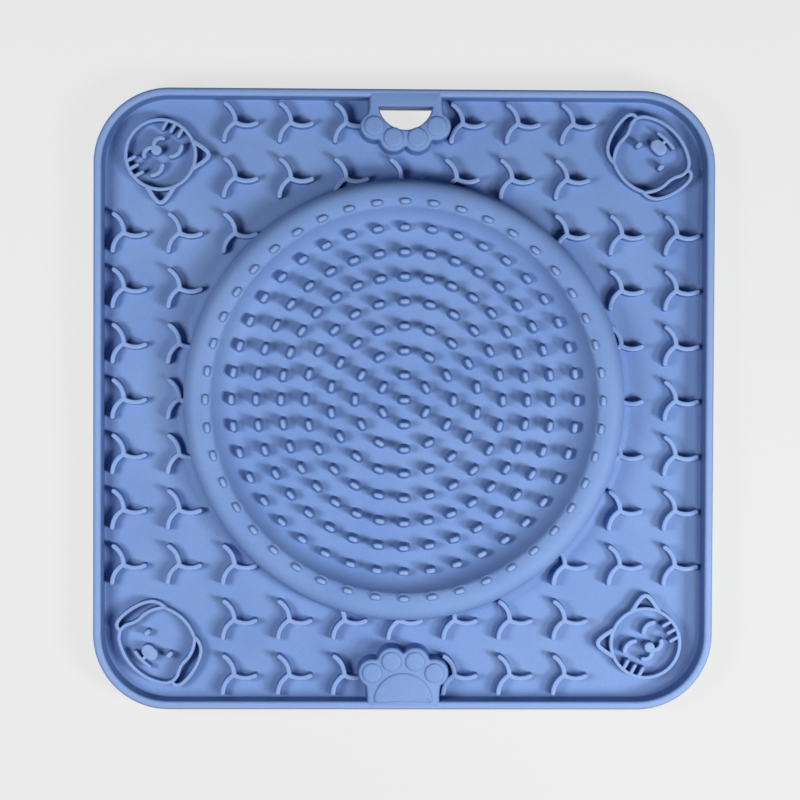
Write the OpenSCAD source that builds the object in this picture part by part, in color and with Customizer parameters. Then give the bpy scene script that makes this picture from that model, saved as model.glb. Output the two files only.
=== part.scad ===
// Moulded silicone mat for slow feeding: a square tray with a nubbed bowl in the middle,
// curled ribs around it, a pet face in each corner and a paw tab on two edges.
// Millimetres and degrees. The underside lies on z = 0 and the hang tab is at the +Y edge.

/* [Sheet and rim] */
// Side of the square mat
mat_side = 205; // [200:1:225]
// Radius of the outer corners
corner_r = 25; // [18:1:30]
// Thickness of the base sheet
sheet_t = 2.5; // [2:0.1:4]
// Width of the rim wall
rim_w = 2.8; // [2.4:0.1:3.6]
// Height of the rim and the tabs above the sheet
rim_h = 8; // [6:0.5:12]

/* [Bowl] */
// Radius of the outer wall
bowl_r = 73; // [70:0.5:75]
// Height of the crest above the sheet
bowl_h = 11; // [9:0.5:15]
// Radius of the rounded outer edge
crest_round = 5; // [3:0.5:6]
// Width of the crest, from the outer wall to the crease
crest_w = 9; // [8.8:0.2:12]
// Drop from the crest to the crease
crease_drop = 1; // [0.4:0.1:2]
// Width of the hollow wall inside the crease
slope_w = 10.1; // [6:0.1:11]
// Steepness of the hollow wall at the crease
wall_lean = 70; // [50:1:82]
// Spread of the foot beyond the outer wall
foot_w = 2.5; // [1:0.1:3]
// Height of the foot
foot_h = 3; // [1.5:0.1:4]
// Thickness of the dish floor
dish_t = 2; // [1:0.1:4]

/* [Nubs] */
// Length along the ring
nub_l = 4; // [3:0.1:4.6]
// Width across the ring
nub_w = 2.1; // [1.4:0.1:3]
// Height in the dish
nub_h = 5; // [3:0.5:7]
// Height on the hollow wall
slope_nub_h = 4.8; // [2:0.1:6]
// Height on the crest
crest_nub_h = 1.3; // [0.8:0.1:3]
// Distance of the outermost ring inside the outer wall
crest_nub_inset = 7.6; // [6.5:0.1:9]

/* [Ribs] */
// Width of a rib
rib_w = 1.6; // [1.2:0.1:2.2]
// Height above the sheet
rib_h = 3.8; // [2.5:0.1:5]
// Bend radius of an arm
arm_r = 7; // [6:0.1:7.4]
// Sweep of an arm
arm_sweep = 60; // [45:1:65]
// Turn of the whole rib
arm_turn = -2; // [-6:1:6]
// Clearance from the ribs to the rim and from the tabs to the foot of the bowl
rib_gap = 0.98; // [0.3:0.02:2]
// Shift of the rib field to the left
rib_shift = 1.2; // [0.6:0.1:2]
// Extra shift to the right of the ribs beside the hang tab
rib_nudge = 1.9; // [0:0.1:2.5]

/* [Faces] */
// Width of the drawn lines
line_w = 1.25; // [1:0.05:1.6]
// Height of the drawn lines above the sheet
line_h = 3.8; // [2.5:0.1:5]
// Distance of a cat's face from the edges of the mat
cat_inset = 21.6; // [20:0.1:24]
// Distance of a dog's face from the edges of the mat
dog_inset = 21.3; // [20:0.1:24]
// Radius of a cat's head
cat_r = 11.5; // [10.5:0.1:12]
// Height of a cat's ears above its head
cat_ear = 4.4; // [3:0.1:5]
// Length of a whisker
whisker_l = 2.7; // [2:0.1:3.2]
// Radius of a cat's nose
cat_nose_r = 1.75; // [1.2:0.05:2]
// Bend radius of a closed eye
eye_arc_r = 3.75; // [3.2:0.05:4.2]
// Height of a dog's head
dog_h = 23; // [21:0.5:24]
// Height of a dog's nose
dog_nose = 4.3; // [3.4:0.1:4.6]
// Width of a dog's eye
dog_eye = 1.7; // [1.2:0.1:2.4]

/* [Tabs] */
// Half the width of a tab's neck
neck_half = 12.1; // [11:0.1:13]
// Radius of a toe lobe
lobe_r = 4.8; // [4.5:0.1:5.2]
// Radius of a raised toe pad
toe_pad_r = 3.35; // [2.6:0.05:3.5]
// Height of the raised pads
pad_h = 0.6; // [0.4:0.1:1.2]
// Distance of the inner toes from the mat's edge
inner_toe = 16; // [15.4:0.1:16.6]
// Distance of the outer toes from the mat's edge
outer_toe = 12.2; // [11.6:0.1:12.6]
// Distance of the slot's straight side from the mat's edge
slot_edge = 5.9; // [5:0.1:7]
// Radius of the slot's round side
slot_r = 9; // [7:0.1:9.2]
// Radius of the heel pad
heel_r = 9.75; // [8:0.05:10]

/* [Hidden] */
$fn = 48;
blue = [0.44, 0.57, 0.82];
half = mat_side / 2;
inner_half = half - rim_w;
rim_top = sheet_t + rim_h;
crest_z = sheet_t + bowl_h;
dish_z = sheet_t + dish_t;
crease_r = bowl_r - crest_w;
crease_z = crest_z - crease_drop;
dish_r = crease_r - slope_w;
nub_counts = [1, 6, 12, 18, 24, 32, 36, 40, 44];
nub_pitch = (bowl_r - crest_nub_inset) / 8;
arm_l = 2 * arm_r * sin(arm_sweep / 2);
rib_rise = arm_l * sin(60 + abs(arm_turn)) + rib_w / 2;
rib_pitch = (inner_half - rib_rise - rib_gap) / 5;
toe_x = [10.3, 3.95];
slot_c = half - slot_edge + slot_r / 6;
cat_at = half - cat_inset;
dog_at = half - dog_inset;
dog_k = dog_h / 23;
cat_nose_y = -cat_r * 0.17;
cat_mouth_r = cat_r * 0.224;

function wall_z(r) = dish_z + (crease_z - dish_z)
  * (1 - cos(asin((r - dish_r) / slope_w * sin(wall_lean)))) / (1 - cos(wall_lean));
function wall_point(t) = let (r = dish_r + slope_w * sin(wall_lean * t) / sin(wall_lean)) [r, wall_z(r)];
function bowl_z(r) = r < dish_r ? dish_z
  : r < crease_r ? wall_z(r)
  : crest_z - crease_drop * (bowl_r - crest_round - r) / (crest_w - crest_round);
function polar(r, a) = r * [cos(a), sin(a)];
function rib_x(row, col) = (col - 5) * rib_pitch - rib_shift + (row == 0 && col > 5 ? rib_nudge : 0);
function rib_y(row) = (5 - row) * rib_pitch;
function in_corner(row, col) = abs(row - 5) > 3 && abs(col - 5) > 3;
function at_tab(row, col) = abs(row - 5) == 5 && col == 5;
function past_bowl(row, col) = norm([rib_x(row, col), rib_y(row)]) > bowl_r - arm_l / 2;
function blend(a, b, c, d, t) = ((2 * b) + (c - a) * t + (2 * a - 5 * b + 4 * c - d) * t * t
  + (3 * b - a - 3 * c + d) * t * t * t) / 2;
function curve(p, n) = concat([for (i = [0 : len(p) - 2]) for (k = [0 : n - 1])
  blend(p[max(i - 1, 0)], p[i], p[i + 1], p[min(i + 2, len(p) - 1)], k / n)], [p[len(p) - 1]]);
function side(p, i) = let (d = p[min(i + 1, len(p) - 1)] - p[max(i - 1, 0)]) [-d.y, d.x] / norm(d);
function cap(p, s, w) = [for (a = [36 : 36 : 144]) p + (s * cos(a) + [s.y, -s.x] * sin(a)) * w / 2];

module rounded_square(s, r) {
  square([s, s - 2 * r], center = true);
  square([s - 2 * r, s], center = true);
  for (x = [-1, 1]) for (y = [-1, 1]) translate([x, y] * (s / 2 - r)) circle(r);
}

module hoop(r, w) {
  difference() {
    circle(r + w / 2);
    circle(r - w / 2);
  }
}

module bar(a, b, w) {
  d = b - a;
  translate(a) rotate(atan2(d.y, d.x)) {
    translate([0, -w / 2]) square([norm(d), w]);
    circle(w / 2);
    translate([norm(d), 0]) circle(w / 2);
  }
}

module arc(r, w, from, to, ends) {
  intersection() {
    hoop(r, w);
    polygon(concat([[0, 0]], [for (k = [0 : 4]) polar(2 * r, from + (to - from) * k / 4)]));
  }
  for (a = ends) rotate(a) translate([r, 0]) circle(w * 0.52);
}

module ribbon(p, w) {
  n = len(p) - 1;
  polygon(concat([for (i = [0 : n]) p[i] + side(p, i) * w / 2], cap(p[n], side(p, n), w),
    [for (i = [n : -1 : 0]) p[i] - side(p, i) * w / 2], cap(p[0], -side(p, 0), w)));
}

// Sheet and rim

module base_sheet() {
  color(blue) linear_extrude(sheet_t) difference() {
    rounded_square(mat_side, corner_r);
    hang_slot();
  }
}

module outer_rim() {
  color(blue) translate([0, 0, sheet_t]) linear_extrude(rim_h) difference() {
    rounded_square(mat_side, corner_r);
    rounded_square(2 * inner_half, corner_r - rim_w);
  }
}

// Bowl

module bowl_section(inside) {
  polygon(concat([[inside, sheet_t], [bowl_r + foot_w, sheet_t], [bowl_r, sheet_t + foot_h],
    [bowl_r, crest_z - crest_round], [bowl_r - crest_round, crest_z], [crease_r, crease_z]],
    [for (k = [6 : -1 : 1]) wall_point(k / 7)], [[dish_r, dish_z], [inside, dish_z]]));
  translate([bowl_r - crest_round, crest_z - crest_round]) circle(crest_round);
}

module bowl_ring() {
  color(blue) rotate_extrude($fn = 96) bowl_section(dish_r);
}

module dish_floor() {
  color(blue) translate([0, 0, sheet_t]) cylinder(r = dish_r, h = dish_t, $fn = 96);
}

// Nubs

module nub_ring(k) {
  r = k * nub_pitch;
  tip = bowl_z(r) + (r < dish_r ? nub_h : r < crease_r ? slope_nub_h : crest_nub_h);
  color(blue) difference() {
    for (i = [1 : nub_counts[k]]) rotate(90 + 360 * i / nub_counts[k]) translate([r, 0, dish_z])
      linear_extrude(tip - dish_z) bar([0, (nub_w - nub_l) / 2], [0, (nub_l - nub_w) / 2], nub_w);
    if (r + nub_w > dish_r) bowl_ring();
  }
}

// Ribs

module rib() {
  circle(rib_w * 0.65);
  for (k = [0 : 2]) {
    a = arm_turn + 120 * k + 90 - arm_sweep / 2;
    tip = a + 180 + arm_sweep;
    translate(polar(arm_r, a)) arc(arm_r, rib_w, a + 180, tip, [tip]);
  }
}

module rib_row(row) {
  color(blue) difference() {
    for (col = [0 : 10]) if (past_bowl(row, col) && !in_corner(row, col) && !at_tab(row, col))
      translate([rib_x(row, col), rib_y(row), sheet_t]) linear_extrude(rib_h) rib();
    rotate_extrude($fn = 96) bowl_section(0);
    if (row < 2 || row > 8) linear_extrude(rim_top) tab_outline(row < 5 ? 1 : -1);
  }
}

// Faces

module on_face(p, turn) {
  color(blue) translate([p.x, p.y, sheet_t]) rotate(turn) linear_extrude(line_h) children();
}

module cat_head() {
  hoop(cat_r, line_w);
  for (s = [-1, 1]) {
    tip = polar(cat_r + cat_ear, 90 + 45 * s);
    for (b = [20, 70]) bar(polar(cat_r, 90 + b * s), tip, line_w);
  }
}

module cat_whiskers() {
  difference() {
    for (s = [0, 1]) mirror([s, 0]) for (a = [185, 199.5, 213.5])
      bar(polar(cat_r, a), polar(cat_r, a) + polar(whisker_l + line_w / 2, 16), line_w * 0.9);
    hoop(cat_r, line_w);
  }
}

module cat_eyes() {
  for (s = [-1, 1]) translate([s * cat_r * 0.385, cat_r * 0.33 - eye_arc_r])
    arc(eye_arc_r, line_w, 50, 130, [50, 130]);
}

module cat_muzzle() {
  translate([0, cat_nose_y]) circle(cat_nose_r);
  for (s = [0, 1]) mirror([s, 0]) translate([line_w / 4, cat_nose_y - cat_nose_r] + polar(cat_mouth_r, 36))
    arc(cat_mouth_r, line_w, 216, 330, [216, 330]);
}

dog_ear_out = dog_k * [[-6.8, 9.9], [-8.85, 9.75], [-11.15, 8.6], [-12.85, 6.45], [-14.2, 3.1],
  [-14.95, -0.75], [-14.9, -4], [-14.1, -5.6], [-12.9, -6.1], [-12.1, -5.7]];
dog_ear_in = dog_k * [[-6.8, 9.9], [-7.6, 9.2], [-9.35, 6.45], [-10.2, 3.7], [-10.35, 0.8],
  [-11, -1.4], [-12, -3.5], [-12.1, -5.7]];
dog_jaw = dog_k * [[-12, -5.9], [-11.4, -7.1], [-9.6, -8.8], [-5.3, -10.8], [0, -11.6],
  [5.3, -10.8], [9.6, -8.8], [11.4, -7.1], [12, -5.9]];

module dog_head() {
  ribbon([for (a = [63 : 6 : 117]) dog_k * ([0, -3.4] + polar(14.8, a))], line_w);
  ribbon(curve(dog_jaw, 3), line_w);
  for (s = [0, 1]) mirror([s, 0]) {
    ribbon(curve(dog_ear_out, 3), line_w);
    ribbon(curve(dog_ear_in, 3), line_w);
  }
}

module dog_eyes() {
  for (s = [-1, 1]) bar(dog_k * [s * 5.2, -0.6], dog_k * [s * 5.2, 0.3], dog_eye);
}

module dog_muzzle() {
  bar(dog_k * [-0.85, -4.3], dog_k * [0.85, -4.3], dog_nose);
  translate(dog_k * [-0.4, -7.8]) square(dog_k * [0.8, 3.5]);
  for (s = [-1, 1]) bar(dog_k * [0, -7.9], dog_k * [s * 3.4, -7.6], line_w);
}

// Tabs

module tab_outline(way) {
  scale([1, way]) difference() {
    union() {
      translate([-neck_half, half - outer_toe]) square([2 * neck_half, outer_toe - rim_w]);
      translate([-toe_x[1], half - inner_toe]) square([2 * toe_x[1], inner_toe - rim_w]);
      toes(lobe_r);
    }
    bowl_foot();
  }
}

module toes(r) {
  for (s = [-1, 1]) {
    translate([s * toe_x[0], half - outer_toe]) circle(r);
    translate([s * toe_x[1], half - inner_toe]) circle(r);
  }
}

module bowl_foot() {
  circle(bowl_r + foot_w + rib_gap);
}

module hang_slot() {
  intersection() {
    translate([0, slot_c]) circle(slot_r);
    translate([-slot_r, slot_c - 2 * slot_r]) square([2 * slot_r, half - slot_edge - slot_c + 2 * slot_r]);
  }
}

module hang_tab() {
  color(blue) translate([0, 0, sheet_t]) linear_extrude(rim_h) difference() {
    tab_outline(1);
    hang_slot();
  }
}

module hang_tab_toe_pads() {
  color(blue) translate([0, 0, rim_top]) linear_extrude(pad_h) difference() {
    toes(toe_pad_r);
    hang_slot();
    bowl_foot();
  }
}

module paw_tab() {
  color(blue) translate([0, 0, sheet_t]) linear_extrude(rim_h) tab_outline(-1);
}

module paw_tab_toe_pads() {
  color(blue) translate([0, 0, rim_top]) linear_extrude(pad_h) mirror([0, 1]) difference() {
    toes(toe_pad_r);
    bowl_foot();
  }
}

module paw_tab_heel_pad() {
  color(blue) translate([0, 0, rim_top]) linear_extrude(pad_h) difference() {
    translate([0, 2.5 - half]) circle(heel_r);
    translate([0, 2.7 - half - 10 * heel_r]) circle(10 * heel_r, $fn = 360);
  }
}

base_sheet();
outer_rim();
bowl_ring();
dish_floor();
nub_ring(0);  // nub_centre
nub_ring(1);  // nub_ring_1
nub_ring(2);  // nub_ring_2
nub_ring(3);  // nub_ring_3
nub_ring(4);  // nub_ring_4
nub_ring(5);  // nub_ring_5
nub_ring(6);  // nub_ring_6
nub_ring(7);  // nub_ring_7
nub_ring(8);  // nub_ring_8
rib_row(0);  // rib_row_01
rib_row(1);  // rib_row_02
rib_row(2);  // rib_row_03
rib_row(3);  // rib_row_04
rib_row(4);  // rib_row_05
rib_row(5);  // rib_row_06
rib_row(6);  // rib_row_07
rib_row(7);  // rib_row_08
rib_row(8);  // rib_row_09
rib_row(9);  // rib_row_10
rib_row(10);  // rib_row_11
on_face([-cat_at, cat_at], -135) cat_head();  // cat_upper_left_head
on_face([-cat_at, cat_at], -135) cat_whiskers();  // cat_upper_left_whiskers
on_face([-cat_at, cat_at], -135) cat_eyes();  // cat_upper_left_eyes
on_face([-cat_at, cat_at], -135) cat_muzzle();  // cat_upper_left_muzzle
on_face([cat_at, -cat_at], 45) cat_head();  // cat_lower_right_head
on_face([cat_at, -cat_at], 45) cat_whiskers();  // cat_lower_right_whiskers
on_face([cat_at, -cat_at], 45) cat_eyes();  // cat_lower_right_eyes
on_face([cat_at, -cat_at], 45) cat_muzzle();  // cat_lower_right_muzzle
on_face([dog_at, dog_at], 135) dog_head();  // dog_upper_right_head
on_face([dog_at, dog_at], 135) dog_eyes();  // dog_upper_right_eyes
on_face([dog_at, dog_at], 135) dog_muzzle();  // dog_upper_right_muzzle
on_face([-dog_at, -dog_at], -45) dog_head();  // dog_lower_left_head
on_face([-dog_at, -dog_at], -45) dog_eyes();  // dog_lower_left_eyes
on_face([-dog_at, -dog_at], -45) dog_muzzle();  // dog_lower_left_muzzle
hang_tab();
hang_tab_toe_pads();
paw_tab();
paw_tab_toe_pads();
paw_tab_heel_pad();
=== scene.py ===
import math
import bmesh
import bpy
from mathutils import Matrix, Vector


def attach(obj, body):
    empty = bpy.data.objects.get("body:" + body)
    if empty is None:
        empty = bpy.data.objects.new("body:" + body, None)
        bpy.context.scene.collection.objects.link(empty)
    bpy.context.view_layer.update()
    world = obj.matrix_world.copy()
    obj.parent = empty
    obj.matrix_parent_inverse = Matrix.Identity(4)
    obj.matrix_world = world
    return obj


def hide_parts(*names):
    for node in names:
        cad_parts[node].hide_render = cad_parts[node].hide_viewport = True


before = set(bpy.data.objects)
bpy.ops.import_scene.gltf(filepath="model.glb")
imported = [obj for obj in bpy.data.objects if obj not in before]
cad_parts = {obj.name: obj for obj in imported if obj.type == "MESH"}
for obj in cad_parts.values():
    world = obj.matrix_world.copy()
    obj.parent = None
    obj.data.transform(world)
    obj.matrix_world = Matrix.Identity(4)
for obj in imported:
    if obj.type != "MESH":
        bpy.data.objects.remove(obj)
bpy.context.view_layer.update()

mm = 0.001  # the mat's sizes are written in millimetres
print("frame loaded:", len(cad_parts), "nodes")


# finishes

siliconeTone = {
    "deep": (0.178, 0.296, 0.610),  # linear colour of the pigment where it lies thick
    "pale": (0.216, 0.342, 0.656),
    "paintedSideShade": (0.075, 0.145, 0.36),  # painted shade: darker colour for the steep sides of the small shapes
    "tip": (0.29, 0.43, 0.755),  # painted highlight: lighter colour for level tops high up
    "slant": (0.3, 0.95),  # upward part of the normal, from the painted shade of steep sides to level tops
    "cloudScale": 30.0,  # per metre
    "cloudSpan": (0.32, 0.68),
    "mottleScale": 1500.0,
    "mottle": (0.965, 1.035),  # darkest and lightest fleck
    "grainScale": 5200.0,  # blasted mould texture
    "grainDepth": 0.05 * mm,
    "noiseSpan": (0.3, 0.7),  # the part of the noise that is used
    "roughness": (0.44, 0.58),
    "ior": 1.41,
    "specular": 0.2,
    "depthShare": 0.08,  # light that passes under the skin
    "depthTint": (0.7, 0.85, 1.0),
    "depth": 1.2 * mm,
}
finishes = {  # painted highlight: level faces turn to the lighter top colour between the two heights, by the share; the other share mixes in the painted shade of steep sides and the painted highlight of tops
    "traySilicone": {"grain": 0.35, "paintedLightShare": 0.8, "highlightFrom": 8.6, "highlightTo": 10.2, "highlightShare": 0.8},
    "bowlSilicone": {"grain": 0.35, "paintedLightShare": 0.15, "highlightFrom": 20.0, "highlightTo": 21.0, "highlightShare": 0.0},
    "noduleSilicone": {"grain": 0.2, "paintedLightShare": 0.75, "highlightFrom": -1.0, "highlightTo": 0.0, "highlightShare": 1.0},
    "tabSilicone": {"grain": 0.3, "paintedLightShare": 0.85, "highlightFrom": 10.3, "highlightTo": 11.0, "highlightShare": 0.35},
    "padSilicone": {"grain": 0.3, "paintedLightShare": 0.35, "highlightFrom": 10.3, "highlightTo": 11.0, "highlightShare": 0.35},
}


def addNode(tree, kind, spot, **settings):
    node = tree.nodes.new(kind)
    node.location = spot
    for key, value in settings.items():
        setattr(node, key, value)
    return node


def rangeNode(tree, spot, source, span, target):
    node = addNode(tree, "ShaderNodeMapRange", spot)
    tree.links.new(source, node.inputs["Value"])
    node.inputs["From Min"].default_value, node.inputs["From Max"].default_value = span
    node.inputs["To Min"].default_value, node.inputs["To Max"].default_value = target
    return node


def siliconeFinish(name):
    tone, kind = siliconeTone, finishes[name]
    finish = bpy.data.materials.new(name)
    finish.use_nodes = True
    tree = finish.node_tree
    link = tree.links.new
    shader = tree.nodes["Principled BSDF"]
    coord = addNode(tree, "ShaderNodeTexCoord", (-1300, 0))
    clouds = addNode(tree, "ShaderNodeTexNoise", (-1050, 250))
    mottle = addNode(tree, "ShaderNodeTexNoise", (-1050, 0))
    skin = addNode(tree, "ShaderNodeTexNoise", (-1050, -250))
    noises = ((clouds, "cloudScale", 3), (mottle, "mottleScale", 2), (skin, "grainScale", 2))
    for node, size, detail in noises:
        link(coord.outputs["Object"], node.inputs["Vector"])
        node.inputs["Scale"].default_value = tone[size]
        node.inputs["Detail"].default_value = detail
    ramp = addNode(tree, "ShaderNodeValToRGB", (-800, 300))
    for stop, spot, shade in zip(ramp.color_ramp.elements, tone["cloudSpan"], ("deep", "pale")):
        stop.position = spot
        stop.color = (*tone[shade], 1)
    link(clouds.outputs["Fac"], ramp.inputs["Fac"])
    facing = addNode(tree, "ShaderNodeNewGeometry", (-1300, 600))
    level = addNode(tree, "ShaderNodeSeparateXYZ", (-1050, 600))
    place = addNode(tree, "ShaderNodeSeparateXYZ", (-1050, 800))
    link(facing.outputs["Normal"], level.inputs["Vector"])
    link(coord.outputs["Object"], place.inputs["Vector"])
    # mask for the painted shade: 0 on steep sides, 1 on level faces
    rise = rangeNode(tree, (-800, 600), level.outputs["Z"], tone["slant"], (0, 1))
    # mask for the painted highlight: faces between the two heights
    heights = (kind["highlightFrom"] * mm, kind["highlightTo"] * mm)
    topHighlightMask = rangeNode(tree, (-800, 850), place.outputs["Z"], heights, (0, kind["highlightShare"]))
    # the tone with the painted highlight on level tops
    raised = addNode(tree, "ShaderNodeMix", (-600, 800), data_type="RGBA")
    link(topHighlightMask.outputs["Result"], raised.inputs["Factor"])
    link(ramp.outputs["Color"], raised.inputs["A"])
    raised.inputs["B"].default_value = (*tone["tip"], 1)
    # painted shade on steep sides, painted highlight on level tops
    paintedShadeAndHighlight = addNode(tree, "ShaderNodeMix", (-420, 600), data_type="RGBA")
    link(rise.outputs["Result"], paintedShadeAndHighlight.inputs["Factor"])
    paintedShadeAndHighlight.inputs["A"].default_value = (*tone["paintedSideShade"], 1)
    link(raised.outputs["Result"], paintedShadeAndHighlight.inputs["B"])
    # the plain tone with the painted shade and painted highlight mixed in by their share
    crown = addNode(tree, "ShaderNodeMix", (-420, 400), data_type="RGBA")
    crown.inputs["Factor"].default_value = kind["paintedLightShare"]
    link(ramp.outputs["Color"], crown.inputs["A"])
    link(paintedShadeAndHighlight.outputs["Result"], crown.inputs["B"])
    fleck = rangeNode(tree, (-520, 100), mottle.outputs["Fac"], tone["noiseSpan"], tone["mottle"])
    tint = addNode(tree, "ShaderNodeHueSaturation", (-300, 260))
    link(crown.outputs["Result"], tint.inputs["Color"])
    link(fleck.outputs["Result"], tint.inputs["Value"])
    link(tint.outputs["Color"], shader.inputs["Base Color"])
    satin = rangeNode(tree, (-520, -120), clouds.outputs["Fac"], tone["noiseSpan"], tone["roughness"])
    link(satin.outputs["Result"], shader.inputs["Roughness"])
    bump = addNode(tree, "ShaderNodeBump", (-300, -250))
    bump.inputs["Strength"].default_value = kind["grain"]
    bump.inputs["Distance"].default_value = tone["grainDepth"]
    link(skin.outputs["Fac"], bump.inputs["Height"])
    link(bump.outputs["Normal"], shader.inputs["Normal"])
    shader.inputs["IOR"].default_value = tone["ior"]
    shader.inputs["Specular IOR Level"].default_value = tone["specular"]
    shader.inputs["Subsurface Weight"].default_value = tone["depthShare"]
    shader.inputs["Subsurface Radius"].default_value = tone["depthTint"]
    shader.inputs["Subsurface Scale"].default_value = tone["depth"]
    return finish


traySilicone = siliconeFinish("traySilicone")
bowlSilicone = siliconeFinish("bowlSilicone")
noduleSilicone = siliconeFinish("noduleSilicone")  # smoother small shapes
tabSilicone = siliconeFinish("tabSilicone")
padSilicone = siliconeFinish("padSilicone")
print("finishes ready")


# shape helpers

meshRules = {"mergeGap": 0.002 * mm, "crispAngle": math.radians(50)}


def polar(radius, degrees):
    a = math.radians(degrees)
    return (radius * math.cos(a), radius * math.sin(a))


def newShape(name, finish):
    piece = bpy.data.objects.new(name, bpy.data.meshes.new(name))
    bpy.context.scene.collection.objects.link(piece)
    piece.data.materials.append(finish)
    return piece


def smoothSkin(piece):
    piece.data.shade_smooth()
    piece.data.set_sharp_from_angle(angle=meshRules["crispAngle"])
    return piece


def fillShape(piece, bm):
    for v in bm.verts:
        v.co *= mm
    bmesh.ops.remove_doubles(bm, verts=bm.verts, dist=meshRules["mergeGap"])
    bmesh.ops.recalc_face_normals(bm, faces=bm.faces)
    bm.to_mesh(piece.data)
    bm.free()
    return smoothSkin(piece)


def addLoops(bm, loops):
    rings = [[bm.verts.new(p) for p in loop] for loop in loops]
    for low, high in zip(rings, rings[1:]):
        for i in range(len(low)):
            j = (i + 1) % len(low)
            bm.faces.new((low[i], low[j], high[j], high[i]))
    return rings


def fillRings(bm, *rings):
    edges = []
    for ring in rings:
        for i, v in enumerate(ring):
            w = ring[(i + 1) % len(ring)]
            edges.append(bm.edges.get((v, w)) or bm.edges.new((v, w)))
    bmesh.ops.triangle_fill(bm, edges=edges, use_beauty=True)


def filletPath(points, radii, steps=6):  # polyline with its inner corners rounded
    path = [Vector(points[0])]
    for before, corner, after, radius in zip(points, points[1:], points[2:], radii):
        c = Vector(corner)
        u, v = (Vector(before) - c).normalized(), (Vector(after) - c).normalized()
        half = u.angle(v) / 2
        reach = radius / math.tan(half)
        middle = c + (u + v).normalized() * radius / math.sin(half)
        start, end = c + u * reach - middle, c + v * reach - middle
        for k in range(steps + 1):
            path.append(middle + start.slerp(end, k / steps) * radius)
    path.append(Vector(points[-1]))
    return [(p.x, p.y) for p in path]


def insetLoop(loop, depth):  # anticlockwise loop, moved inwards
    moved = []
    for i, p in enumerate(loop):
        a, b = Vector(loop[i - 1]), Vector(loop[(i + 1) % len(loop)])
        p = Vector(p)
        u, v = (p - a).normalized(), (b - p).normalized()
        n = Vector((-u.y - v.y, u.x + v.x)).normalized()
        lean = max(0.5, n.dot(Vector((-v.y, v.x))))  # a sharp corner moves twice the depth at most
        moved.append(tuple(p + n * depth / lean))
    return moved


def softenLoop(loop):  # every corner cut off, at a quarter of its sides
    soft = []
    for i, p in enumerate(loop):
        a, b = Vector(p), Vector(loop[(i + 1) % len(loop)])
        soft += [tuple(a.lerp(b, 0.25)), tuple(a.lerp(b, 0.75))]
    return soft


def atHeight(loop, z):
    return [(x, y, z) for x, y in loop]


def settle(piece, *nodes):
    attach(piece, "root")
    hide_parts(*nodes)


# square tray with its rolled rim

tray = {
    "half": 102.5,
    "corner": 25.0,
    "sheet": 2.5,
    "rimWidth": 2.8,
    "rimTop": 10.5,
    "rimLean": 0.12,  # of its inner face
    "rimRound": 1.15,
    "footRound": 0.6,
    "edgeRound": 0.7,
    "cornerSteps": 18,
    "lap": (1.6, 3.0),  # where the rim's section ends, on the underside and on the floor
}
slot = {
    "edge": 5.9,
    "radius": 9.0,
    "rise": 1.5,  # the arc's middle lies this far beyond the straight edge
    "ease": 0.06,  # the sheet's hole is this much wider than the tab's
    "steps": 28,
    "wall": ((0.0, -0.2), (0.0, 7.2), (0.1, 7.6), (0.3, 7.9), (0.6, 8.03)),  # growth, height on the sheet
}


def squareLoop(inset):
    side, radius = tray["half"] - inset, tray["corner"] - inset
    loop = []
    for corner, (sx, sy) in enumerate(((1, 1), (-1, 1), (-1, -1), (1, -1))):
        for k in range(tray["cornerSteps"] + 1):
            x, y = polar(radius, 90 * corner + 90 * k / tray["cornerSteps"])
            loop.append((sx * (side - radius) + x, sy * (side - radius) + y))
    return loop


def slotLoop(grow):  # straight edge towards the rim, round edge towards the bowl
    radius = slot["radius"]
    top = tray["half"] - slot["edge"]
    middle = top + slot["rise"]
    lean = math.degrees(math.asin((top - middle) / radius))
    turns = [-180 - lean + (180 + 2 * lean) * k / slot["steps"] for k in range(slot["steps"] + 1)]
    loop = [(x, y + middle) for x, y in (polar(radius, a) for a in turns)]
    return insetLoop(loop, -grow)


def makeTray():
    w, top, floor = tray["rimWidth"], tray["rimTop"], tray["sheet"]
    under, over = tray["lap"]
    section = filletPath(
        [(under, 0), (0, 0), (0, top), (w, top), (w + tray["rimLean"], floor), (w + over, floor)],
        [tray["edgeRound"], tray["rimRound"], tray["rimRound"], tray["footRound"]],
    )
    bm = bmesh.new()
    rings = addLoops(bm, [atHeight(squareLoop(inset), z) for inset, z in section])
    hole = addLoops(bm, [atHeight(slotLoop(slot["ease"]), z) for z in (0, floor)])
    fillRings(bm, rings[0], hole[0])
    fillRings(bm, rings[-1], hole[-1])
    return fillShape(newShape("tray", traySilicone), bm)


settle(makeTray(), "base_sheet", "outer_rim")
print("tray and rim made")


# bowl: swollen ring round a flat dish

bowl = {
    "radius": 73.0,
    "crest": 13.5,
    "crestRound": 4.9,
    "shoulder": (66.6, 13.36),
    "shoulderRound": 6.0,
    "crease": (64.0, 12.7),
    "creaseRound": 2.5,
    "wallFoot": 60.2,  # where the leaning wall would meet the dish
    "wallRound": 10.5,
    "dish": 4.5,
    "dishRing": 24.0,  # inside it the dish is one flat face
    "footReach": 3.4,
    "footEdge": 0.1,
    "sink": 0.02,  # the foot's thin edge lies this far in the sheet
    "skirt": 0.3,  # and its skirt goes this far down
    "turns": 160,
    "roundSteps": 8,
}


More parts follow.
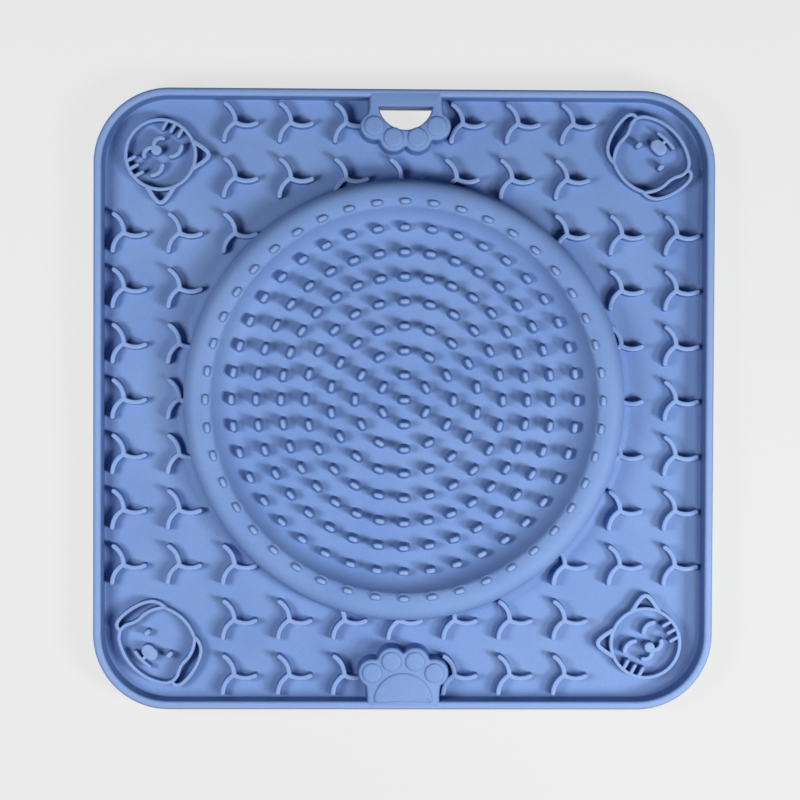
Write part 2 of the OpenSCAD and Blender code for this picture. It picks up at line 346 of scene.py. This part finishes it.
def makeBowl():
    sheet = tray["sheet"]
    rounds = ("footReach", "crestRound", "shoulderRound", "creaseRound", "wallRound")
    section = filletPath(
        [
            (bowl["radius"] + bowl["footReach"] + bowl["footEdge"], sheet - bowl["sink"]),
            (bowl["radius"], sheet - bowl["sink"]),
            (bowl["radius"], bowl["crest"]),
            bowl["shoulder"],
            bowl["crease"],
            (bowl["wallFoot"], bowl["dish"]),
            (bowl["dishRing"], bowl["dish"]),
        ],
        [bowl[key] for key in rounds],
        bowl["roundSteps"],
    )
    section = [(section[0][0], sheet - bowl["skirt"])] + section
    turns = [360 * k / bowl["turns"] for k in range(bowl["turns"])]
    bm = bmesh.new()
    rings = addLoops(bm, [[(*polar(r, a), z) for a in turns] for r, z in section])
    bm.faces.new(rings[0])
    bm.faces.new(rings[-1])
    return fillShape(newShape("bowl", bowlSilicone), bm)


settle(makeBowl(), "bowl_ring", "dish_floor")
print("bowl made")


# node trees for what repeats

def newTree(name, sockets):
    tree = bpy.data.node_groups.new(name, "GeometryNodeTree")
    tree.interface.new_socket("Geometry", in_out="OUTPUT", socket_type="NodeSocketGeometry")
    keys = {}
    for label, kind in sockets:
        keys[label] = tree.interface.new_socket(label, in_out="INPUT", socket_type=kind).identifier
    start = addNode(tree, "NodeGroupInput", (-1400, 0))
    return tree, keys, start.outputs


def mathNode(tree, spot, operation, *values):
    node = addNode(tree, "ShaderNodeMath", spot, operation=operation)
    for socket, value in zip(node.inputs, values):
        if isinstance(value, (int, float)):
            socket.default_value = value
        else:
            tree.links.new(value, socket)
    return node.outputs[0]


def plantCopies(tree, start, points, shape, turn=None, keep=None):  # instances, realized and finished
    link = tree.links.new
    source = addNode(tree, "GeometryNodeObjectInfo", (200, -300))
    link(start[shape], source.inputs["Object"])
    plant = addNode(tree, "GeometryNodeInstanceOnPoints", (450, 0))
    link(points, plant.inputs["Points"])
    link(source.outputs["Geometry"], plant.inputs["Instance"])
    if turn is not None:
        link(turn, plant.inputs["Rotation"])
    if keep is not None:
        link(keep, plant.inputs["Selection"])
    real = addNode(tree, "GeometryNodeRealizeInstances", (650, 0))
    coat = addNode(tree, "GeometryNodeSetMaterial", (850, 0))
    end = addNode(tree, "NodeGroupOutput", (1050, 0))
    link(plant.outputs["Instances"], real.inputs["Geometry"])
    link(real.outputs["Geometry"], coat.inputs["Geometry"])
    link(start["Finish"], coat.inputs["Material"])
    link(coat.outputs["Geometry"], end.inputs["Geometry"])


def growPiece(name, tree, keys, values, seeds=()):
    carrier = bpy.data.objects.new(name, bpy.data.meshes.new(name + "Seed"))
    carrier.data.from_pydata([tuple(c * mm for c in p) for p in seeds], [], [])
    bpy.context.scene.collection.objects.link(carrier)
    grower = carrier.modifiers.new(tree.name, "NODES")
    grower.node_group = tree
    for label, value in values.items():
        grower[keys[label]] = value
    bpy.context.view_layer.update()
    grown = carrier.evaluated_get(bpy.context.evaluated_depsgraph_get())
    plain = bpy.data.meshes.new_from_object(grown)
    carrier.modifiers.clear()
    carrier.data = plain
    plain.name = name
    return smoothSkin(carrier)


# raised lines: an outline lofted up to its crest

ridge = {
    "foot": ((1.35, -0.15), (1.14, 0.25), (1.06, 0.8)),  # share of the half width, height
    "crest": ((1.0, 0.45), (0.92, 0.14), (0.74, 0.02), (0.0, 0.0)),  # share, distance below the top
}
button = {
    "foot": ((0.22, -0.15), (0.09, 0.25)),  # distance outside the radius, height
    "crest": ((0.0, 0.45), (-0.07, 0.14), (-0.24, 0.02)),  # distance, and below the top
    "flat": 0.4,  # share of the radius
}


def ridgeLoop(path, halfWidth, capSteps):  # anticlockwise outline round an open line
    points = [Vector(p) for p in path]
    last = len(points) - 1
    along = [(points[min(i + 1, last)] - points[max(i - 1, 0)]).normalized() for i in range(last + 1)]
    across = [Vector((-t.y, t.x)) for t in along]
    loop = [points[i] - across[i] * halfWidth for i in range(last + 1)]
    for k in range(1, capSteps):
        a = math.pi * (k / capSteps - 0.5)
        loop.append(points[last] + (along[last] * math.cos(a) + across[last] * math.sin(a)) * halfWidth)
    loop += [points[i] + across[i] * halfWidth for i in range(last, -1, -1)]
    for k in range(1, capSteps):
        a = math.pi * (k / capSteps + 0.5)
        loop.append(points[0] + (along[0] * math.cos(a) + across[0] * math.sin(a)) * halfWidth)
    return [tuple(p) for p in loop]


def ridgeLevels(width, height):  # half widths and heights, from the flared foot to the crest
    levels = [(width / 2 * share, z) for share, z in ridge["foot"]]
    return levels + [(width / 2 * share, height - drop) for share, drop in ridge["crest"]]


def buttonLevels(radius, height):  # the same, with a broad domed top
    levels = [(radius + out, z) for out, z in button["foot"]]
    levels += [(radius + out, height - drop) for out, drop in button["crest"]]
    return levels + [(radius * button["flat"], height)]


def addRidge(bm, path, levels, place, capSteps=6):
    outlines = [(ridgeLoop(path, half, capSteps), z) for half, z in levels]
    rings = addLoops(bm, [[place(x, y, z) for x, y in loop] for loop, z in outlines])
    bm.faces.new(rings[0])
    if levels[-1][0] > 0:
        bm.faces.new(rings[-1])


def addHoop(bm, radius, levels, place, turns=72):
    sides = levels + [(-half, z) for half, z in reversed(levels[:-1])]
    loops = [[place(*polar(radius + half, 360 * k / turns), z) for k in range(turns)] for half, z in sides]
    addLoops(bm, loops + loops[:1])


# nubs of the lick bowl

nub = {
    "tip": (2.6, 1.05),  # length along the ring, width across it
    "foot": (5.2, 3.6),
    "spread": (1.0, 0.74, 0.44, 0.27, 0.1, 0.0),  # from foot to tip, at each level
    "flare": 0.14,  # share of the height
    "tipDrops": (0.9, 0.4, 0.1, 0.0),  # the upper levels, below the top
    "ends": 4,
    "counts": (1, 6, 12, 18, 24, 32, 36, 40, 44),
    "pitch": 8.175,
    "dishTop": 9.5,
    "slopeTop": 9.3,
    "crestTop": 14.25,
    "sink": 0.1,  # of the foot
    "slopeSink": 0.6,
}


def makeNub(name, base, top):  # steep oval stud, long way along Y
    levels = [base, base + nub["flare"] * (top - base)] + [top - drop for drop in nub["tipDrops"]]
    bm = bmesh.new()
    rings = []
    for share, z in zip(nub["spread"], levels):
        length, width = (tip + (foot - tip) * share for tip, foot in zip(nub["tip"], nub["foot"]))
        reach = (length - width) / 2
        rings.append(atHeight(ridgeLoop([(0, -reach), (0, reach)], width / 2, nub["ends"]), z))
    rings = addLoops(bm, rings)
    bm.faces.new(rings[0])
    bm.faces.new(rings[-1])
    return fillShape(newShape(name, noduleSilicone), bm)


def nubRingTree():
    tree, keys, start = newTree("nubRing", (
        ("Nub", "NodeSocketObject"), ("Count", "NodeSocketInt"),
        ("Ring Radius", "NodeSocketFloat"), ("Finish", "NodeSocketMaterial")))
    index = addNode(tree, "GeometryNodeInputIndex", (-1400, 250)).outputs[0]
    step = mathNode(tree, (-1150, 200), "ADD", index, 1)
    share = mathNode(tree, (-950, 200), "DIVIDE", step, start["Count"])
    angle = mathNode(tree, (-750, 200), "MULTIPLY_ADD", share, 2 * math.pi, math.pi / 2)
    across = mathNode(tree, (-550, 250), "COSINE", angle)
    along = mathNode(tree, (-550, 80), "SINE", angle)
    x = mathNode(tree, (-350, 200), "MULTIPLY", across, start["Ring Radius"])
    y = mathNode(tree, (-350, 50), "MULTIPLY", along, start["Ring Radius"])
    spot = addNode(tree, "ShaderNodeCombineXYZ", (-150, 120))
    turn = addNode(tree, "ShaderNodeCombineXYZ", (-150, -60))
    tree.links.new(x, spot.inputs["X"])
    tree.links.new(y, spot.inputs["Y"])
    tree.links.new(angle, turn.inputs["Z"])
    spin = addNode(tree, "FunctionNodeEulerToRotation", (50, -60))
    tree.links.new(turn.outputs[0], spin.inputs[0])
    points = addNode(tree, "GeometryNodePoints", (50, 150))
    tree.links.new(start["Count"], points.inputs["Count"])
    tree.links.new(spot.outputs[0], points.inputs["Position"])
    plantCopies(tree, start, points.outputs[0], "Nub", turn=spin.outputs[0])
    return tree, keys


def makeNubs():
    tree, keys = nubRingTree()
    dishNub = makeNub("dishNub", bowl["dish"] - nub["sink"], nub["dishTop"])
    slopeNub = makeNub("slopeNub", bowl["dish"] - nub["slopeSink"], nub["slopeTop"])
    crestNub = makeNub("crestNub", bowl["crease"][1] - nub["sink"], nub["crestTop"])
    outermost = len(nub["counts"]) - 1
    for k, count in enumerate(nub["counts"]):
        name = "nub_centre" if k == 0 else "nub_ring_%d" % k
        shape = {outermost: crestNub, outermost - 1: slopeNub}.get(k, dishNub)
        radius = k * nub["pitch"] * mm
        values = {"Nub": shape, "Count": count, "Ring Radius": radius, "Finish": noduleSilicone}
        settle(growPiece("bowlNubs%d" % k, tree, keys, values), name)
    for shape in (dishNub, slopeNub, crestNub):
        bpy.data.objects.remove(shape)


makeNubs()
print("nubs made:", sum(nub["counts"]))


# curled three-armed ribs

rib = {
    "width": 1.6,
    "height": 3.8,
    "armRadius": 7.0,
    "armSweep": 60.0,
    "turn": -2.0,
    "stations": (0.2, 0.36, 0.52, 0.68, 0.84, 1.0),
    "capSteps": 6,
    "rows": 11,  # and as many columns
    "pitch": 18.348,
    "shift": 1.2,
    "nudge": 1.9,  # the right-hand ribs of the first row stand a little further out
    "bowlClear": 69.5,
    "faceRows": 2,  # rows at either edge that stop short of the faces
    "faceColumns": 3,  # how far they go from the middle
}


def ribLoop(halfWidth):
    loop = []
    for arm in range(3):
        lean = rib["turn"] + 120 * arm + 90 - rib["armSweep"] / 2
        cx, cy = polar(rib["armRadius"], lean)
        loop.append(polar(halfWidth / math.sin(math.pi / 3), lean - 150))  # mitre between two arms
        spine = [polar(rib["armRadius"], lean + 180 + rib["armSweep"] * t) for t in rib["stations"]]
        outline = ridgeLoop([(cx + x, cy + y) for x, y in spine], halfWidth, rib["capSteps"])
        loop += outline[:2 * len(spine) + rib["capSteps"] - 1]  # without the cap at the junction
    return loop


def makeRib():
    bm = bmesh.new()
    levels = ridgeLevels(rib["width"], rib["height"])
    loops = [atHeight(ribLoop(half), tray["sheet"] + z) for half, z in levels]
    rings = addLoops(bm, loops)
    bm.faces.new(rings[0])
    return fillShape(newShape("curledRib", noduleSilicone), bm)


def ribRowTree():
    tree, keys, start = newTree("ribRow", (
        ("Rib", "NodeSocketObject"), ("Columns", "NodeSocketInt"), ("Pitch", "NodeSocketFloat"),
        ("Row Place", "NodeSocketFloat"), ("Shift", "NodeSocketFloat"), ("Nudge", "NodeSocketFloat"),
        ("Bowl Clear", "NodeSocketFloat"), ("Corner Reach", "NodeSocketFloat"),
        ("Tab Gap", "NodeSocketFloat"), ("Finish", "NodeSocketMaterial")))
    index = addNode(tree, "GeometryNodeInputIndex", (-1400, 300)).outputs[0]
    column = mathNode(tree, (-1200, 300), "SUBTRACT", index, rib["rows"] // 2)
    shifted = mathNode(tree, (-1000, 300), "MULTIPLY", column, start["Pitch"])
    shifted = mathNode(tree, (-800, 300), "SUBTRACT", shifted, start["Shift"])
    right = mathNode(tree, (-1000, 450), "GREATER_THAN", column, 0.5)
    x = mathNode(tree, (-600, 300), "MULTIPLY_ADD", right, start["Nudge"], shifted)
    spot = addNode(tree, "ShaderNodeCombineXYZ", (-400, 250))
    tree.links.new(x, spot.inputs["X"])
    tree.links.new(start["Row Place"], spot.inputs["Y"])
    points = addNode(tree, "GeometryNodePoints", (-200, 150))
    tree.links.new(start["Columns"], points.inputs["Count"])
    tree.links.new(spot.outputs[0], points.inputs["Position"])
    distance = addNode(tree, "ShaderNodeVectorMath", (-200, 400), operation="LENGTH")
    tree.links.new(spot.outputs[0], distance.inputs[0])
    away = mathNode(tree, (-1000, 600), "ABSOLUTE", column)
    pastBowl = mathNode(tree, (0, 400), "GREATER_THAN", distance.outputs["Value"], start["Bowl Clear"])
    offCorner = mathNode(tree, (0, 550), "LESS_THAN", away, start["Corner Reach"])
    offTab = mathNode(tree, (0, 700), "GREATER_THAN", away, start["Tab Gap"])
    clear = mathNode(tree, (100, 650), "MULTIPLY", offCorner, offTab)
    keep = mathNode(tree, (200, 500), "MULTIPLY", pastBowl, clear)
    plantCopies(tree, start, points.outputs[0], "Rib", keep=keep)
    return tree, keys


def makeRibs():
    tree, keys = ribRowTree()
    shape = makeRib()
    middle = rib["rows"] // 2
    for row in range(rib["rows"]):
        away = abs(row - middle)
        byFaces = away > middle - rib["faceRows"]
        values = {
            "Rib": shape,
            "Columns": rib["rows"],
            "Pitch": rib["pitch"] * mm,
            "Row Place": (middle - row) * rib["pitch"] * mm,
            "Shift": rib["shift"] * mm,
            "Nudge": rib["nudge"] * mm if row == 0 else 0.0,
            "Bowl Clear": rib["bowlClear"] * mm,
            "Corner Reach": (rib["faceColumns"] if byFaces else rib["rows"]) + 0.5,
            "Tab Gap": 0.5 if away == middle else -1.0,  # no middle rib where a tab lies
            "Finish": noduleSilicone,
        }
        settle(growPiece("ribRow%02d" % (row + 1), tree, keys, values), "rib_row_%02d" % (row + 1))
    bpy.data.objects.remove(shape)


makeRibs()
print("rib rows made")


# pet faces in the corners

faceLine = {"width": 1.25, "bold": 1.55, "height": 3.8}
cat = {
    "inset": 21.6,
    "radius": 11.5,
    "earTurn": 45,
    "ear": ((0, 23.5), (2.5, 10.6), (5.3, 0), (2.5, -10.6), (0, -23.5)),  # beyond the head, degrees aside
    "earRounds": (8.0, 1.7, 8.0),
    "whisker": 3.2,
    "whiskerLean": 16,
    "whiskerTurns": (185, 199.5, 213.5),
    "nose": 1.75,
    "noseReach": 0.05,
    "noseDrop": 0.17,  # this and the eyes' place are shares of the head's radius
    "eyeAt": (0.385, 0.33),
    "eyeBend": 3.75,
    "eyeArc": (50, 130),
    "lip": 2.38,
    "lipAt": (2.25, -0.1),  # beside the nose, and below its middle
    "lipArc": (216, 330),
}
dog = {
    "inset": 21.3,
    "brow": (-3.4, 14.8, 63, 117),  # height of the middle, radius and ends of the arc
    "nose": 4.3,
    "noseEnds": ((-0.85, -4.3), (0.85, -4.3)),
    "eye": 1.7,
    "eyeEnds": ((5.2, -0.6), (5.2, 0.3)),
    "cleft": ((0, -4.3), (0, -6), (0, -7.8)),
    "mouth": ((-3.4, -7.55), (-1.6, -7.8), (0, -7.9), (1.6, -7.8), (3.4, -7.55)),
    "earOuter": ((-6.8, 9.9), (-8.85, 9.75), (-11.15, 8.6), (-12.85, 6.45), (-14.2, 3.1),
                 (-14.95, -0.75), (-14.9, -4.0), (-14.1, -5.6), (-12.9, -6.1), (-12.1, -5.7)),
    "earInner": ((-6.8, 9.9), (-7.6, 9.2), (-9.35, 6.45), (-10.2, 3.7), (-10.35, 0.8),
                 (-11.0, -1.4), (-12.0, -3.5), (-12.1, -5.7)),
    "chin": ((-12.1, -5.7), (-11.4, -7.1), (-9.6, -8.8), (-5.3, -10.8), (0, -11.6),
             (5.3, -10.8), (9.6, -8.8), (11.4, -7.1), (12.1, -5.7)),
}


def facePlace(x0, y0, degrees):
    c, s = math.cos(math.radians(degrees)), math.sin(math.radians(degrees))
    return lambda x, y, z: (x0 + c * x - s * y, y0 + s * x + c * y, tray["sheet"] + z)


def arcPath(cx, cy, radius, start, end, steps):
    arc = [polar(radius, start + (end - start) * k / steps) for k in range(steps + 1)]
    return [(cx + x, cy + y) for x, y in arc]


def curvePath(points, steps=5):  # smooth line through the points
    path = []
    for i in range(len(points) - 1):
        a, b, c, d = (Vector(points[min(max(j, 0), len(points) - 1)]) for j in (i - 1, i, i + 1, i + 2))
        for k in range(steps):
            t = k / steps
            square, cube = 2 * a - 5 * b + 4 * c - d, 3 * b - a - 3 * c + d
            path.append(tuple((2 * b + (c - a) * t + square * t * t + cube * t ** 3) / 2))
    return path + [points[-1]]


def flipPath(path):
    return [(-x, y) for x, y in path]


def makeCat(label, corner, x0, y0, degrees):
    place = facePlace(x0, y0, degrees)
    r, high = cat["radius"], faceLine["height"]
    line, bold = ridgeLevels(faceLine["width"], high), ridgeLevels(faceLine["bold"], high)

    bm = bmesh.new()
    addHoop(bm, r, line, place)
    for s in (-1, 1):
        ear = [polar(r + out, 90 + (cat["earTurn"] + aside) * s) for out, aside in cat["ear"]]
        addRidge(bm, filletPath(ear, cat["earRounds"], 6), bold, place)
    settle(fillShape(newShape("catHead" + label, noduleSilicone), bm), "cat_%s_head" % corner)

    bm = bmesh.new()
    for turn in cat["whiskerTurns"]:
        x, y = polar(r, turn)
        dx, dy = polar(cat["whisker"], cat["whiskerLean"])
        whisker = [(x + dx * t, y + dy * t) for t in (0, 0.5, 1)]
        addRidge(bm, whisker, line, place)
        addRidge(bm, flipPath(whisker), line, place)
    settle(fillShape(newShape("catWhiskers" + label, noduleSilicone), bm), "cat_%s_whiskers" % corner)

    bm = bmesh.new()
    eyeX, eyeY = cat["eyeAt"]
    for s in (-1, 1):
        lid = arcPath(s * r * eyeX, r * eyeY - cat["eyeBend"], cat["eyeBend"], *cat["eyeArc"], 10)
        addRidge(bm, lid, bold, place)
    settle(fillShape(newShape("catEyes" + label, noduleSilicone), bm), "cat_%s_eyes" % corner)

    bm = bmesh.new()
    noseX, noseY = cat["noseReach"], -r * cat["noseDrop"]
    lipX, lipDrop = cat["lipAt"]
    addRidge(bm, [(-noseX, noseY), (noseX, noseY)], buttonLevels(cat["nose"], high), place, 10)
    lip = arcPath(lipX, noseY + lipDrop, cat["lip"], *cat["lipArc"], 12)
    addRidge(bm, lip, bold, place)
    addRidge(bm, flipPath(lip), bold, place)
    settle(fillShape(newShape("catMuzzle" + label, noduleSilicone), bm), "cat_%s_muzzle" % corner)


def makeDog(label, corner, x0, y0, degrees):
    place = facePlace(x0, y0, degrees)
    high = faceLine["height"]
    line = ridgeLevels(faceLine["width"], high)

    bm = bmesh.new()
    addRidge(bm, arcPath(0, *dog["brow"], 12), line, place)
    addRidge(bm, curvePath(dog["chin"]), line, place)
    for ear in (curvePath(dog["earOuter"]), curvePath(dog["earInner"])):
        addRidge(bm, ear, line, place)
        addRidge(bm, flipPath(ear), line, place)
    settle(fillShape(newShape("dogHead" + label, noduleSilicone), bm), "dog_%s_head" % corner)

    bm = bmesh.new()
    for eye in (flipPath(dog["eyeEnds"]), dog["eyeEnds"]):
        addRidge(bm, eye, buttonLevels(dog["eye"] / 2, high), place, 8)
    settle(fillShape(newShape("dogEyes" + label, noduleSilicone), bm), "dog_%s_eyes" % corner)

    bm = bmesh.new()
    addRidge(bm, dog["noseEnds"], buttonLevels(dog["nose"] / 2, high), place, 10)
    addRidge(bm, dog["cleft"], line, place)
    addRidge(bm, dog["mouth"], line, place)
    settle(fillShape(newShape("dogMuzzle" + label, noduleSilicone), bm), "dog_%s_muzzle" % corner)


catAt, dogAt = tray["half"] - cat["inset"], tray["half"] - dog["inset"]
makeCat("UpperLeft", "upper_left", -catAt, catAt, -135)
makeCat("LowerRight", "lower_right", catAt, -catAt, 45)
makeDog("UpperRight", "upper_right", dogAt, dogAt, 135)
makeDog("LowerLeft", "lower_left", -dogAt, -dogAt, -45)
print("faces made")


# paw-shaped tabs on two edges

tab = {
    "neck": 12.1,
    "neckStations": (2.4, 5.0),  # in from the mat's edge
    "neckTrim": 4,  # degrees left off the lobes' arcs, so that softening rounds the corners
    "notchTrim": 5,
    "lobe": 4.8,
    "lobeSteps": (22, 18),
    "outerToe": (10.3, 12.2),  # place beside the middle, and in from the mat's edge
    "innerToe": (3.95, 16.0),
    "overRim": 0.6,
    "squareEnd": 0.3,  # no softening so near the rim
    "wall": ((-0.6, -0.2), (-0.2, 0.35), (0.0, 1.2), (0.06, 6.9), (0.18, 7.45),
             (0.46, 7.84), (0.95, 8.03)),  # inset, height on the sheet
}
pad = {
    "height": 0.6,
    "toeRadius": 3.25,
    "toeSteps": 24,
    "heelRadius": 9.75,
    "heelTurns": (9, 90, 6),  # degrees: first, end and step
    "heelMiddle": 2.5,  # in from the mat's edge
    "heelLow": 2.7,  # the same, for the middle of the lower edge
    "heelCorner": (9.62, 2.9),
    "heelArch": 97.5,  # radius of the lower edge
    "archStations": (0, 3, 6, 8.2, 9.2),
}


def tabOutline():
    half, r = tray["half"], tab["lobe"]
    (x1, d1), (x2, d2) = tab["outerToe"], tab["innerToe"]
    y1, y2 = half - d1, half - d2
    gap = math.hypot(x1 - x2, y1 - y2)
    rise = math.sqrt(r * r - gap * gap / 4)
    notch = ((x1 + x2) / 2 + rise * (y1 - y2) / gap, (y1 + y2) / 2 - rise * (x1 - x2) / gap)
    start = math.degrees(math.acos((tab["neck"] - x1) / r))
    outer = [start, math.degrees(math.atan2(notch[1] - y1, notch[0] - x1))]
    inner = [math.degrees(math.atan2(notch[1] - y2, notch[0] - x2)), math.degrees(math.acos(x2 / r)) - 180]
    outerSteps, innerSteps = tab["lobeSteps"]
    right = [(tab["neck"], half - d) for d in (tab["overRim"], *tab["neckStations"])]
    right += arcPath(x1, y1, r, outer[0] - tab["neckTrim"], outer[1] + tab["notchTrim"], outerSteps)
    right += arcPath(x2, y2, r, inner[0] - tab["notchTrim"], inner[1] + tab["notchTrim"], innerSteps)
    loop = right + [(-x, y) for x, y in reversed(right)]
    loop.reverse()  # anticlockwise
    soft = [p for p in softenLoop(loop) if p[1] < half - tab["overRim"] - tab["squareEnd"]]
    return [loop[0]] + soft + [loop[-1]]  # square where it meets the rim


def makeTab(name, way, holed):
    outline = tabOutline()
    bm = bmesh.new()
    sheet = tray["sheet"]

    def turned(loop, z):
        return [(x, way * y, z) for x, y in loop]

    rings = addLoops(bm, [turned(insetLoop(outline, inset), sheet + z) for inset, z in tab["wall"]])
    if holed:
        hole = addLoops(bm, [turned(slotLoop(grow), sheet + z) for grow, z in slot["wall"]])
        fillRings(bm, rings[0], hole[0])
        fillRings(bm, rings[-1], hole[-1])
    else:
        fillRings(bm, rings[0])
        fillRings(bm, rings[-1])
    return fillShape(newShape(name, tabSilicone), bm)


def makeToePad():
    bm = bmesh.new()
    r, high = pad["toeRadius"], pad["height"]
    section = ((r + 0.12, -0.1), (r + 0.02, 0.1), (r - 0.1, high - 0.22), (r - 0.4, high - 0.03),
               (r - 1.1, high + 0.03), (0.7, high + 0.05))
    turns = [360 * k / pad["toeSteps"] for k in range(pad["toeSteps"])]
    rings = addLoops(bm, [[(*polar(radius, a), z) for a in turns] for radius, z in section])
    bm.faces.new(rings[0])
    bm.faces.new(rings[-1])
    return fillShape(newShape("toePad", padSilicone), bm)


def toePadTree():
    tree, keys, start = newTree("toePads", (
        ("Toes", "NodeSocketGeometry"), ("Pad", "NodeSocketObject"), ("Finish", "NodeSocketMaterial")))
    spots = addNode(tree, "GeometryNodeMeshToPoints", (0, 100))
    tree.links.new(start["Toes"], spots.inputs["Mesh"])
    plantCopies(tree, start, spots.outputs[0], "Pad")
    return tree, keys


def makeHeel():
    half, high, arch = tray["half"], pad["height"], pad["heelArch"]
    low = pad["heelLow"] - half
    cornerX, cornerIn = pad["heelCorner"]
    right = [(x, low - arch + math.sqrt(arch * arch - x * x)) for x in pad["archStations"]]
    right += [(cornerX, cornerIn - half)]
    crown = [polar(pad["heelRadius"], a) for a in range(*pad["heelTurns"])]
    right += [(x, y + pad["heelMiddle"] - half) for x, y in crown]
    loop = softenLoop(right + [(-x, y) for x, y in reversed(right[1:])])
    bm = bmesh.new()
    steps = ((-0.12, -0.1), (0.0, 0.1), (0.12, high - 0.22), (0.42, high - 0.03), (1.2, high + 0.03))
    rings = addLoops(bm, [atHeight(insetLoop(loop, inset), tray["rimTop"] + z) for inset, z in steps])
    fillRings(bm, rings[0])
    fillRings(bm, rings[-1])
    return fillShape(newShape("pawHeel", padSilicone), bm)


settle(makeTab("hangTab", 1, True), "hang_tab")
settle(makeTab("pawTab", -1, False), "paw_tab")
padTree, padKeys = toePadTree()
padShape = makeToePad()
padValues = {"Pad": padShape, "Finish": padSilicone}
for edge, way in (("hang", 1), ("paw", -1)):
    toes = []
    for x, d in (tab["outerToe"], tab["innerToe"]):
        toes += [(s * x, way * (tray["half"] - d), tray["rimTop"]) for s in (-1, 1)]
    settle(growPiece(edge + "ToePads", padTree, padKeys, padValues, toes), edge + "_tab_toe_pads")
bpy.data.objects.remove(padShape)
settle(makeHeel(), "paw_tab_heel_pad")
print("tabs and pads made")


# floor, light and camera

studio = {
    "floorSize": 3.0,  # metres, as the lamps are
    "floorDrop": 0.0002,  # below the mat
    "floorGrey": 0.81,
    "floorRoughness": 0.9,
    "floorSpecular": 0.1,
    "paperGlow": 0.84,
    "shadowShare": 0.14,  # how much of the shadow the paper shows
    "sky": (0.93, 0.96, 1.0),
    "skyStrength": 0.01,
}
lamps = {
    "keyLamp": {"place": (0.45, -0.22, 0.4), "side": 0.15, "power": 2.34},
    "topLamp": {"place": (0.16, -0.13, 0.3), "side": 0.1, "power": 0.43},
    "fillLamp": {"place": (-0.27, -0.035, 0.33), "side": 0.14, "power": 0.91},
}
view = {
    "place": (-14.6, 13.6, 650.0),
    "turn": (-1.213, -1.171, 0.245),  # degrees
    "lens": 87.27,
    "sensor": 36,
}


def paleRays(tree):  # 1 for the rays that see the backdrop itself
    rays = addNode(tree, "ShaderNodeLightPath", (-700, 300)).outputs
    seen = mathNode(tree, (-500, 300), "MAXIMUM", rays["Is Camera Ray"], rays["Is Glossy Ray"])
    return mathNode(tree, (-300, 300), "MAXIMUM", seen, rays["Is Transmission Ray"])


def makeFloor():
    s, z = studio["floorSize"] / 2, -studio["floorDrop"]
    floor = bpy.data.objects.new("floor", bpy.data.meshes.new("floor"))
    floor.data.from_pydata([(-s, -s, z), (s, -s, z), (s, s, z), (-s, s, z)], [], [(0, 1, 2, 3)])
    bpy.context.scene.collection.objects.link(floor)
    paper = bpy.data.materials.new("backdropPaper")
    paper.use_nodes = True
    tree = paper.node_tree
    shader = tree.nodes["Principled BSDF"]
    shader.inputs["Base Color"].default_value = (studio["floorGrey"],) * 3 + (1,)
    shader.inputs["Roughness"].default_value = studio["floorRoughness"]
    shader.inputs["Specular IOR Level"].default_value = studio["floorSpecular"]
    glow = addNode(tree, "ShaderNodeEmission", (-200, -200))
    glow.inputs["Color"].default_value = (studio["paperGlow"],) * 3 + (1,)
    share = mathNode(tree, (-100, 300), "MULTIPLY", paleRays(tree), 1 - studio["shadowShare"])
    blend = addNode(tree, "ShaderNodeMixShader", (300, 100))
    tree.links.new(share, blend.inputs[0])
    tree.links.new(shader.outputs[0], blend.inputs[1])
    tree.links.new(glow.outputs[0], blend.inputs[2])
    tree.links.new(blend.outputs[0], tree.nodes["Material Output"].inputs["Surface"])
    floor.data.materials.append(paper)


def makeLight():
    world = bpy.data.worlds.new("studioSky")
    bpy.context.scene.world = world
    world.use_nodes = True
    tree = world.node_tree
    sky = tree.nodes["Background"]
    sky.inputs["Color"].default_value = (*studio["sky"], 1)
    sky.inputs["Strength"].default_value = studio["skyStrength"]
    pale = addNode(tree, "ShaderNodeBackground", (0, -200))
    far = studio["paperGlow"] * (1 - studio["shadowShare"])  # as the floor shows far off, so no horizon
    pale.inputs["Color"].default_value = (far,) * 3 + (1,)
    blend = addNode(tree, "ShaderNodeMixShader", (250, 0))
    tree.links.new(paleRays(tree), blend.inputs[0])
    tree.links.new(sky.outputs[0], blend.inputs[1])
    tree.links.new(pale.outputs[0], blend.inputs[2])
    tree.links.new(blend.outputs[0], tree.nodes["World Output"].inputs["Surface"])
    for name, kind in lamps.items():
        lamp = bpy.data.objects.new(name, bpy.data.lights.new(name, "AREA"))
        lamp.data.size = kind["side"]
        lamp.data.energy = kind["power"]
        lamp.location = kind["place"]
        lamp.rotation_euler = (-Vector(kind["place"])).to_track_quat("-Z", "Y").to_euler()
        bpy.context.scene.collection.objects.link(lamp)


def makeCamera():
    camera = bpy.data.objects.new("camera", bpy.data.cameras.new("camera"))
    camera.data.lens = view["lens"]
    camera.data.sensor_width = view["sensor"]
    camera.location = [c * mm for c in view["place"]]
    camera.rotation_euler = [math.radians(a) for a in view["turn"]]
    bpy.context.scene.collection.objects.link(camera)
    bpy.context.scene.camera = camera


makeFloor()
makeLight()
makeCamera()
bpy.context.scene.view_settings.view_transform = "Standard"
print("stage set")
